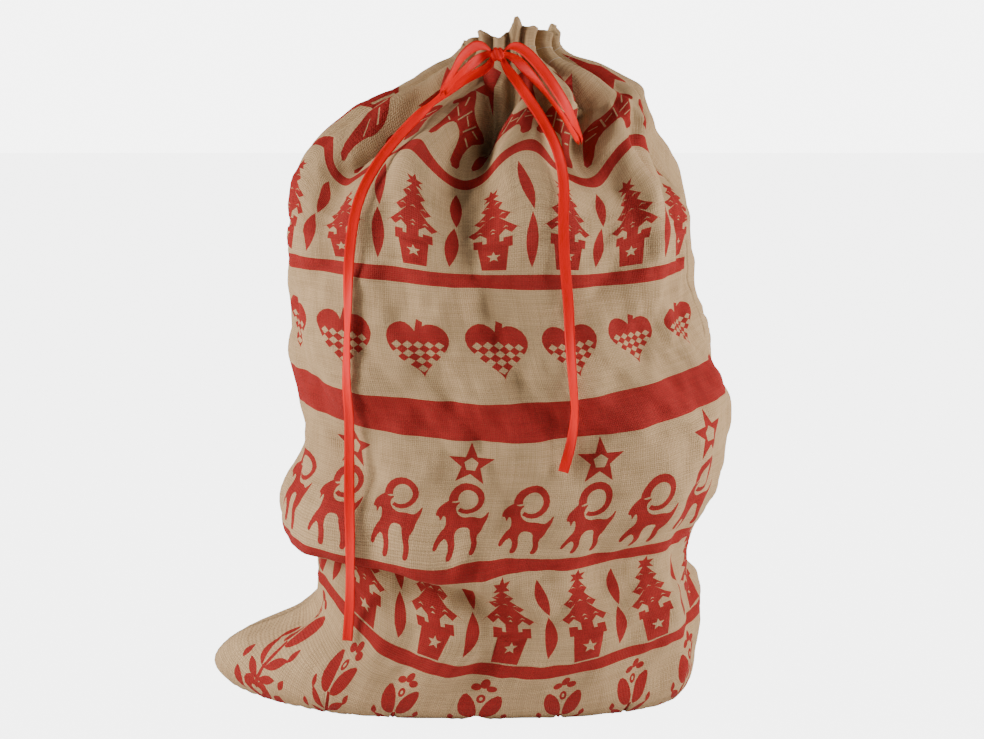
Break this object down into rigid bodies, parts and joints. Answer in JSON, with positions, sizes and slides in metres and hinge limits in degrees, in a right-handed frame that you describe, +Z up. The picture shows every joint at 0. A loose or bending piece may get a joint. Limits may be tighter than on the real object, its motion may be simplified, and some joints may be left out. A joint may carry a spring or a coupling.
{
  "type": "fabric gift sack",
  "caption": "Filled hessian gift sack with printed folk bands on the front, gathered neck with ruffle, and a satin drawstring ribbon tied in a bow.",
  "frame": {"origin": "under the middle of the sack's bounding box, on its flat base", "axes": "+Z up through the neck, front panel towards -Y, +X to the right as seen from the front"},
  "size_m": [0.4773, 0.2484, 0.6202],
  "materials": {
    "printed_hessian": "coarse plain-weave jute, red printed bands",
    "hessian": "coarse plain-weave jute, unprinted",
    "seam_cloth": "turned and overlocked jute edges",
    "thread": "matt sewing thread",
    "satin_ribbon": "glossy satin weave"
  },
  "bodies": {
    "sack": {"front_base": "printed_hessian", "front_lower": "printed_hessian", "front_belly": "printed_hessian", "front_upper": "printed_hessian", "front_shoulder": "printed_hessian", "back_base": "hessian", "back_lower": "hessian", "back_belly": "hessian", "back_upper": "hessian", "back_shoulder": "hessian", "left_side_seam": "seam_cloth", "right_side_seam": "seam_cloth", "bottom_seam": "seam_cloth"},
    "front_mouth": {"front_hem": "printed_hessian", "front_hem_facing": "hessian", "front_drawstring": "satin_ribbon", "front_lower_stitching": "thread", "front_upper_stitching": "thread"},
    "back_mouth": {"back_hem": "hessian", "back_hem_facing": "hessian", "back_drawstring": "satin_ribbon", "back_lower_stitching": "thread", "back_upper_stitching": "thread"},
    "bow": {"bow_knot": "satin_ribbon"},
    "left_loop": {"left_loop": "satin_ribbon"},
    "right_loop": {"right_loop": "satin_ribbon"},
    "left_tail": {"left_tail": "satin_ribbon"},
    "right_tail": {"right_tail": "satin_ribbon"}
  },
  "joints": [
    {"name": "drawstring_pull", "type": "slide", "parent": "sack", "child": "bow", "axis": [0, -1, 0], "range_m": [0, 0.05]},
    {"name": "front_mouth_open", "type": "hinge", "parent": "sack", "child": "front_mouth", "pos_m": [0.043, -0.04184, 0.582], "axis": [1, 0, 0], "range_deg": [0, 20]},
    {"name": "back_mouth_open", "type": "hinge", "parent": "sack", "child": "back_mouth", "pos_m": [0.043, 0.04184, 0.582], "axis": [1, 0, 0], "range_deg": [-20, 0]},
    {"name": "left_tail_swing", "type": "hinge", "parent": "bow", "child": "left_tail", "pos_m": [0.029, -0.04874, 0.5891], "axis": [-1, 0, 0], "range_deg": [0, 60]},
    {"name": "right_tail_swing", "type": "hinge", "parent": "bow", "child": "right_tail", "pos_m": [0.029, -0.04874, 0.5891], "axis": [-1, 0, 0], "range_deg": [0, 60]},
    {"name": "left_loop_lift", "type": "hinge", "parent": "left_tail", "child": "left_loop", "pos_m": [0.029, -0.04874, 0.5891], "axis": [-1, 0, 0], "range_deg": [0, 50]},
    {"name": "right_loop_lift", "type": "hinge", "parent": "bow", "child": "right_loop", "pos_m": [0.029, -0.04874, 0.5891], "axis": [-1, 0, 0], "range_deg": [0, 50]}
  ],
  "couplings": [
    {"joint": "front_mouth_open", "follows": "drawstring_pull", "rad_per_m": 6.9},
    {"joint": "back_mouth_open", "follows": "drawstring_pull", "rad_per_m": -6.9}
  ]
}
